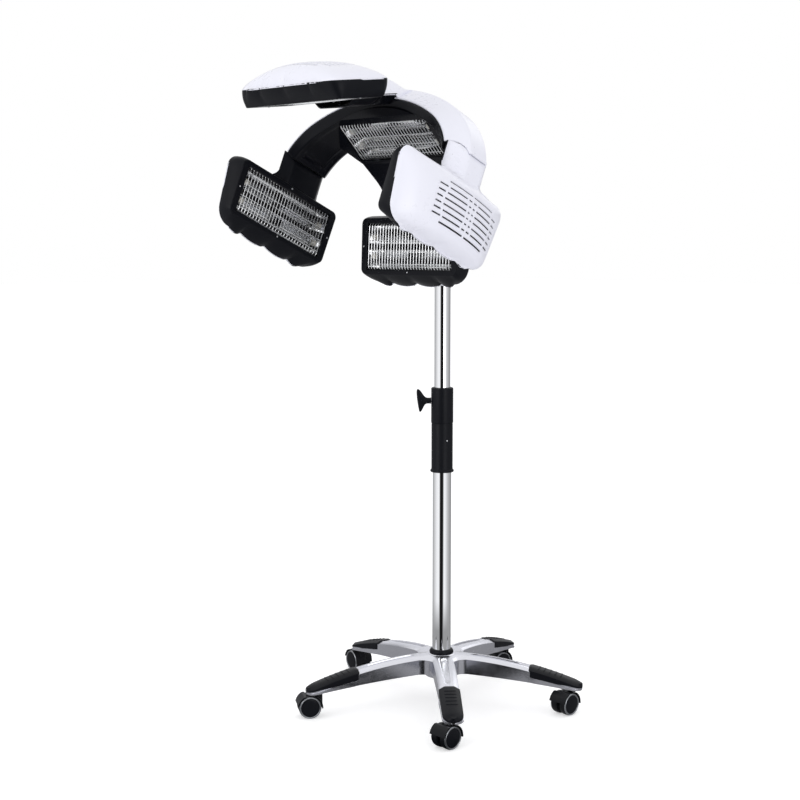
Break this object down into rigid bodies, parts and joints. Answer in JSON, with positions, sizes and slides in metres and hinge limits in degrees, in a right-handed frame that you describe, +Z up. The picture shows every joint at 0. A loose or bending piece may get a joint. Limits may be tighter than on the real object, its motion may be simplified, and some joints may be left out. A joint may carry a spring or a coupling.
{
  "type": "hair color processor",
  "caption": "Rolling floor stand whose arched head carries hinged infrared heater panels round a seated client, with a height clamp, star base and twin-wheel casters.",
  "frame": {"origin": "on the floor under the mast's axis", "axes": "+Z up; the client sits on the -Y side, facing away from the mast; +X is the client's left"},
  "size_m": [0.6422, 0.7934, 1.4006],
  "materials": {
    "white_gloss": "gloss",
    "black_satin": "satin",
    "black_gloss": "gloss",
    "polished_alloy": "polished",
    "chromed_tube": "mirror",
    "steel": "brushed",
    "nylon": "satin",
    "wheel_grey": "satin",
    "reflector_sheet": "polished",
    "quartz": "clear",
    "guard_wire": "bright",
    "smoked_window": "clear",
    "board_green": "matte",
    "socket_paint": "satin"
  },
  "bodies": {
    "stand": {"star_base": "polished_alloy", "foot_covers": "black_satin", "base_bolt": "steel", "lower_tube": "chromed_tube", "hub_ring": "black_satin", "clamp_collar": "black_satin", "guide_bush": "nylon"},
    "knob": {"wing_knob": "black_satin", "clamp_screw": "steel"},
    "mast": {"upper_tube": "chromed_tube", "tube_foot": "nylon"},
    "head": {"head_socket": "socket_paint", "crown_cover": "white_gloss", "crown_liner": "black_gloss", "crown_hood": "black_satin", "rear_cover": "white_gloss", "knuckle_blocks": "nylon", "pivot_pins": "steel", "control_plate": "black_satin", "display_window": "smoked_window", "control_board": "board_green", "cord_gland": "black_satin", "crown_reflector": "reflector_sheet", "crown_lamps": "quartz", "crown_guard": "guard_wire"},
    "left_panel": {"left_panel_cover": "white_gloss", "left_panel_housing": "black_satin", "left_reflector": "reflector_sheet", "left_lamps": "quartz", "left_guard": "guard_wire"},
    "right_panel": {"right_panel_cover": "white_gloss", "right_panel_housing": "black_satin", "right_reflector": "reflector_sheet", "right_lamps": "quartz", "right_guard": "guard_wire"},
    "rear_panel": {"rear_panel_cover": "white_gloss", "rear_panel_housing": "black_satin", "rear_reflector": "reflector_sheet", "rear_lamps": "quartz", "rear_guard": "guard_wire"},
    "front_panel": {"front_panel_cover": "white_gloss", "front_panel_housing": "black_satin", "front_reflector": "reflector_sheet", "front_lamps": "quartz", "front_guard": "guard_wire"},
    "key_1": {"key_1": "nylon"},
    "key_2": {"key_2": "nylon"},
    "key_3": {"key_3": "nylon"},
    "rocker": {"rocker_switch": "black_gloss"},
    "caster_1": {"caster_housing_1": "black_satin"},
    "wheels_1": {"caster_wheels_1": "wheel_grey"},
    "caster_2": {"caster_housing_2": "black_satin"},
    "wheels_2": {"caster_wheels_2": "wheel_grey"},
    "caster_3": {"caster_housing_3": "black_satin"},
    "wheels_3": {"caster_wheels_3": "wheel_grey"},
    "caster_4": {"caster_housing_4": "black_satin"},
    "wheels_4": {"caster_wheels_4": "wheel_grey"},
    "caster_5": {"caster_housing_5": "black_satin"},
    "wheels_5": {"caster_wheels_5": "wheel_grey"}
  },
  "joints": [
    {"name": "knob_turn", "type": "hinge", "parent": "stand", "child": "knob", "pos_m": [0, 0, 0.69], "axis": [-0.7373, -0.6756, 0], "range_deg": [0, 360]},
    {"name": "mast_slide", "type": "slide", "parent": "stand", "child": "mast", "axis": [0, 0, 1], "range_m": [-0.17, 0.15]},
    {"name": "head_turn", "type": "hinge", "parent": "mast", "child": "head", "pos_m": [0, 0, 1.09], "axis": [0, 0, 1], "range_deg": [-170, 170]},
    {"name": "left_panel_tilt", "type": "hinge", "parent": "head", "child": "left_panel", "pos_m": [0.2475, -0.20233, 1.19268], "axis": [0, -0.9171, 0.3987], "range_deg": [-20, 20]},
    {"name": "right_panel_tilt", "type": "hinge", "parent": "head", "child": "right_panel", "pos_m": [-0.2475, -0.20233, 1.19268], "axis": [0, 0.9171, -0.3987], "range_deg": [-20, 20]},
    {"name": "rear_panel_tilt", "type": "hinge", "parent": "head", "child": "rear_panel", "pos_m": [0, -0.07663, 1.13819], "axis": [-1, 0, 0], "range_deg": [-3, 22]},
    {"name": "front_panel_tilt", "type": "hinge", "parent": "head", "child": "front_panel", "pos_m": [0, -0.27952, 1.34482], "axis": [1, 0, 0], "range_deg": [-20, 20]},
    {"name": "key_1_press", "type": "slide", "parent": "head", "child": "key_1", "axis": [0, -1, 0], "range_m": [0, 0.0015], "stiffness_N_per_m": 400},
    {"name": "key_2_press", "type": "slide", "parent": "head", "child": "key_2", "axis": [0, -1, 0], "range_m": [0, 0.0015], "stiffness_N_per_m": 400},
    {"name": "key_3_press", "type": "slide", "parent": "head", "child": "key_3", "axis": [0, -1, 0], "range_m": [0, 0.0015], "stiffness_N_per_m": 400},
    {"name": "rocker_tip", "type": "hinge", "parent": "head", "child": "rocker", "pos_m": [0.025, 0.0414, 1.146], "axis": [1, 0, 0], "range_deg": [0, 8]},
    {"name": "caster_1_swivel", "type": "hinge", "parent": "stand", "child": "caster_1", "pos_m": [0.21701, -0.2013, 0.05], "axis": [0, 0, 1], "continuous": true},
    {"name": "wheels_1_roll", "type": "hinge", "parent": "caster_1", "child": "wheels_1", "pos_m": [0.21618, -0.22029, 0.025], "axis": [0.999, -0.0436, 0], "continuous": true},
    {"name": "caster_2_swivel", "type": "hinge", "parent": "stand", "child": "caster_2", "pos_m": [0.25851, 0.14418, 0.05], "axis": [0, 0, 1], "continuous": true},
    {"name": "wheels_2_roll", "type": "hinge", "parent": "caster_2", "child": "wheels_2", "pos_m": [0.25768, 0.1252, 0.025], "axis": [0.999, -0.0436, 0], "continuous": true},
    {"name": "caster_3_swivel", "type": "hinge", "parent": "stand", "child": "caster_3", "pos_m": [-0.05724, 0.29041, 0.05], "axis": [0, 0, 1], "continuous": true},
    {"name": "wheels_3_roll", "type": "hinge", "parent": "caster_3", "child": "wheels_3", "pos_m": [-0.06135, 0.27186, 0.025], "axis": [0.9763, -0.2164, 0], "continuous": true},
    {"name": "caster_4_swivel", "type": "hinge", "parent": "stand", "child": "caster_4", "pos_m": [-0.29389, 0.0353, 0.05], "axis": [0, 0, 1], "continuous": true},
    {"name": "wheels_4_roll", "type": "hinge", "parent": "caster_4", "child": "wheels_4", "pos_m": [-0.31244, 0.03942, 0.025], "axis": [-0.2164, -0.9763, 0], "continuous": true},
    {"name": "caster_5_swivel", "type": "hinge", "parent": "stand", "child": "caster_5", "pos_m": [-0.12439, -0.26859, 0.05], "axis": [0, 0, 1], "continuous": true},
    {"name": "wheels_5_roll", "type": "hinge", "parent": "caster_5", "child": "wheels_5", "pos_m": [-0.13488, -0.28444, 0.025], "axis": [0.8339, -0.5519, 0], "continuous": true}
  ]
}
